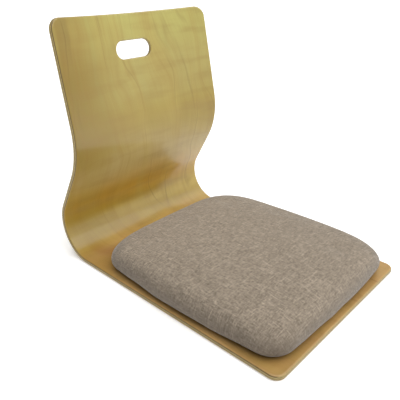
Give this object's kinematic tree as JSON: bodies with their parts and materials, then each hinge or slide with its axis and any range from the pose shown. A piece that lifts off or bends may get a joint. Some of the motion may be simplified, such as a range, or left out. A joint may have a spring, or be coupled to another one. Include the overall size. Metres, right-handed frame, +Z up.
{
  "type": "floor chair",
  "caption": "Legless floor chair: S-bent moulded plywood shell with a hand slot in its back, and an upholstered seat pad.",
  "frame": {"origin": "on the floor, under the middle of the chair's box", "axes": "+Z up, -Y towards the front edge of the seat, X across, with both sides alike about x = 0"},
  "size_m": [0.38, 0.529, 0.4633],
  "materials": {
    "face_veneer": "clear satin lacquer, grain along the shell",
    "core_ply_light": "lacquered ply edge, side grain",
    "core_ply_dark": "lacquered ply edge, end grain",
    "linen_fabric": "grey-beige linen-look weave with slubs",
    "foam": "open-cell foam",
    "plain_plywood": "raw sanded plywood",
    "under_lining": "black non-woven cloth",
    "zinc_plated_steel": "bright zinc plating"
  },
  "bodies": {
    "root": {"shell_ply_1_front_face": "face_veneer", "shell_ply_2_core": "core_ply_dark", "shell_ply_3_core": "core_ply_light", "shell_ply_4_core": "core_ply_dark", "shell_ply_5_core": "core_ply_light", "shell_ply_6_core": "core_ply_dark", "shell_ply_7_rear_face": "face_veneer", "pad_cover": "linen_fabric", "pad_foam": "foam", "pad_board": "plain_plywood", "pad_under_lining": "under_lining", "seat_screw_front_right": "zinc_plated_steel", "seat_screw_front_left": "zinc_plated_steel", "seat_screw_rear_right": "zinc_plated_steel", "seat_screw_rear_left": "zinc_plated_steel", "flanged_nut_front_right": "zinc_plated_steel", "flanged_nut_front_left": "zinc_plated_steel", "flanged_nut_rear_right": "zinc_plated_steel", "flanged_nut_rear_left": "zinc_plated_steel", "hem_staple_1": "zinc_plated_steel", "hem_staple_2": "zinc_plated_steel", "hem_staple_3": "zinc_plated_steel", "hem_staple_4": "zinc_plated_steel", "hem_staple_5": "zinc_plated_steel", "hem_staple_6": "zinc_plated_steel", "hem_staple_7": "zinc_plated_steel", "hem_staple_8": "zinc_plated_steel", "hem_staple_9": "zinc_plated_steel", "hem_staple_10": "zinc_plated_steel", "hem_staple_11": "zinc_plated_steel", "hem_staple_12": "zinc_plated_steel"}
  },
  "joints": []
}
